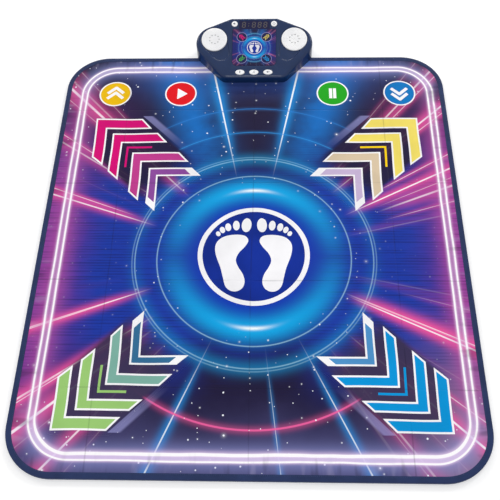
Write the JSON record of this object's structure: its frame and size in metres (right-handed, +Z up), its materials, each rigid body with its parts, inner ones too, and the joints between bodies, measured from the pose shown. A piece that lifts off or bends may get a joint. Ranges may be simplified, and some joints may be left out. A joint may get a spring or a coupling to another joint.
{
  "type": "electronic dance mat",
  "caption": "Layered foot mat with chevron and round pressing zones, a bound edge and a wedge console with speakers, buttons and a display.",
  "frame": {"origin": "centre of the mat's underside, on the floor", "axes": "+Y from the player's edge towards the console, +X to the player's right, +Z up"},
  "size_m": [0.8, 0.9715, 0.0606],
  "materials": {
    "printed_vinyl": "printed soft vinyl with a satin shine",
    "binding_tape": "woven tape, matte",
    "backing_cloth": "anti-slip cloth, matte",
    "foam": "closed-cell foam, matte",
    "sensor_film": "clear film with printed tracks",
    "carbon_contact": "printed carbon, matte",
    "navy_plastic": "moulded, satin",
    "white_plastic": "moulded, satin",
    "screen_acrylic": "printed acrylic, glossy",
    "circuit_board": "solder mask, satin",
    "display_body": "matte",
    "steel": "bright, lightly brushed",
    "speaker_driver": "matte",
    "battery_cell": "plain printed sleeve",
    "wire_red": "insulated wire",
    "wire_black": "insulated wire",
    "print_pink": "printed soft vinyl with a satin shine",
    "print_yellow": "printed soft vinyl with a satin shine",
    "print_green": "printed soft vinyl with a satin shine",
    "print_blue": "printed soft vinyl with a satin shine",
    "print_amber": "printed soft vinyl with a satin shine",
    "print_red": "printed soft vinyl with a satin shine",
    "print_leaf": "printed soft vinyl with a satin shine",
    "print_azure": "printed soft vinyl with a satin shine"
  },
  "bodies": {
    "mat": {"back_sheet": "backing_cloth", "foam_core": "foam", "sensor_film_lower": "sensor_film", "sensor_film_upper": "sensor_film", "sensor_spacer": "sensor_film", "sensor_tail": "sensor_film", "top_sheet": "printed_vinyl", "edge_binding": "binding_tape", "mat_clamp_bar": "navy_plastic", "console_top_case": "navy_plastic", "console_bottom_case": "navy_plastic", "main_board": "circuit_board", "display_module": "display_body", "screen_panel": "screen_acrylic", "speaker_grille_left": "white_plastic", "speaker_grille_right": "white_plastic", "speaker_driver_left": "speaker_driver", "speaker_driver_right": "speaker_driver", "speaker_wire_left": "wire_red", "speaker_wire_right": "wire_red", "battery_wire_red": "wire_red", "battery_wire_black": "wire_black", "clamp_screw_1": "steel", "battery_cell_1": "battery_cell", "clamp_screw_2": "steel", "battery_cell_2": "battery_cell", "clamp_screw_3": "steel", "battery_cell_3": "battery_cell", "case_screw_1": "steel", "case_screw_2": "steel", "case_screw_3": "steel", "case_screw_4": "steel", "battery_contact_negative": "steel", "battery_contact_link_left": "steel", "battery_contact_link_right": "steel", "battery_contact_positive": "steel"},
    "arrow_pink_zone": {"arrow_pad_pink": "print_pink", "arrow_contact_pink": "carbon_contact"},
    "arrow_yellow_zone": {"arrow_pad_yellow": "print_yellow", "arrow_contact_yellow": "carbon_contact"},
    "arrow_green_zone": {"arrow_pad_green": "print_green", "arrow_contact_green": "carbon_contact"},
    "arrow_blue_zone": {"arrow_pad_blue": "print_blue", "arrow_contact_blue": "carbon_contact"},
    "icon_up_zone": {"icon_pad_up": "print_amber", "icon_contact_up": "carbon_contact"},
    "icon_play_zone": {"icon_pad_play": "print_red", "icon_contact_play": "carbon_contact"},
    "icon_pause_zone": {"icon_pad_pause": "print_leaf", "icon_contact_pause": "carbon_contact"},
    "icon_down_zone": {"icon_pad_down": "print_azure", "icon_contact_down": "carbon_contact"},
    "sound_button_cap": {"sound_button": "white_plastic"},
    "power_button_cap": {"power_button": "white_plastic"},
    "mode_button_cap": {"mode_button": "white_plastic"},
    "music_button_cap": {"music_button": "white_plastic"},
    "volume_button_cap": {"volume_button": "white_plastic"},
    "battery_door": {"battery_door": "navy_plastic", "battery_door_screw": "steel"}
  },
  "joints": [
    {"name": "arrow_pad_pink_press", "type": "slide", "parent": "mat", "child": "arrow_pink_zone", "axis": [0, 0, -1], "range_m": [0, 0.0008], "stiffness_N_per_m": 20000, "springref_m": -0.0002},
    {"name": "arrow_pad_yellow_press", "type": "slide", "parent": "mat", "child": "arrow_yellow_zone", "axis": [0, 0, -1], "range_m": [0, 0.0008], "stiffness_N_per_m": 20000, "springref_m": -0.0002},
    {"name": "arrow_pad_green_press", "type": "slide", "parent": "mat", "child": "arrow_green_zone", "axis": [0, 0, -1], "range_m": [0, 0.0008], "stiffness_N_per_m": 20000, "springref_m": -0.0002},
    {"name": "arrow_pad_blue_press", "type": "slide", "parent": "mat", "child": "arrow_blue_zone", "axis": [0, 0, -1], "range_m": [0, 0.0008], "stiffness_N_per_m": 20000, "springref_m": -0.0002},
    {"name": "icon_pad_up_press", "type": "slide", "parent": "mat", "child": "icon_up_zone", "axis": [0, 0, -1], "range_m": [0, 0.0008], "stiffness_N_per_m": 20000, "springref_m": -0.0002},
    {"name": "icon_pad_play_press", "type": "slide", "parent": "mat", "child": "icon_play_zone", "axis": [0, 0, -1], "range_m": [0, 0.0008], "stiffness_N_per_m": 20000, "springref_m": -0.0002},
    {"name": "icon_pad_pause_press", "type": "slide", "parent": "mat", "child": "icon_pause_zone", "axis": [0, 0, -1], "range_m": [0, 0.0008], "stiffness_N_per_m": 20000, "springref_m": -0.0002},
    {"name": "icon_pad_down_press", "type": "slide", "parent": "mat", "child": "icon_down_zone", "axis": [0, 0, -1], "range_m": [0, 0.0008], "stiffness_N_per_m": 20000, "springref_m": -0.0002},
    {"name": "sound_button_press", "type": "slide", "parent": "mat", "child": "sound_button_cap", "axis": [0, 0.2419, -0.9703], "range_m": [0, 0.001], "stiffness_N_per_m": 900, "springref_m": -0.0005},
    {"name": "power_button_press", "type": "slide", "parent": "mat", "child": "power_button_cap", "axis": [0, 0.2419, -0.9703], "range_m": [0, 0.001], "stiffness_N_per_m": 900, "springref_m": -0.0005},
    {"name": "mode_button_press", "type": "slide", "parent": "mat", "child": "mode_button_cap", "axis": [0, 0.2419, -0.9703], "range_m": [0, 0.001], "stiffness_N_per_m": 900, "springref_m": -0.0005},
    {"name": "music_button_press", "type": "slide", "parent": "mat", "child": "music_button_cap", "axis": [0, 0.2419, -0.9703], "range_m": [0, 0.001], "stiffness_N_per_m": 900, "springref_m": -0.0005},
    {"name": "volume_button_press", "type": "slide", "parent": "mat", "child": "volume_button_cap", "axis": [0, 0.2419, -0.9703], "range_m": [0, 0.001], "stiffness_N_per_m": 900, "springref_m": -0.0005},
    {"name": "battery_door_hinge", "type": "hinge", "parent": "mat", "child": "battery_door", "pos_m": [-0.02985, 0.4819, 0.00095], "axis": [0, 1, 0], "range_deg": [0, 75]}
  ]
}
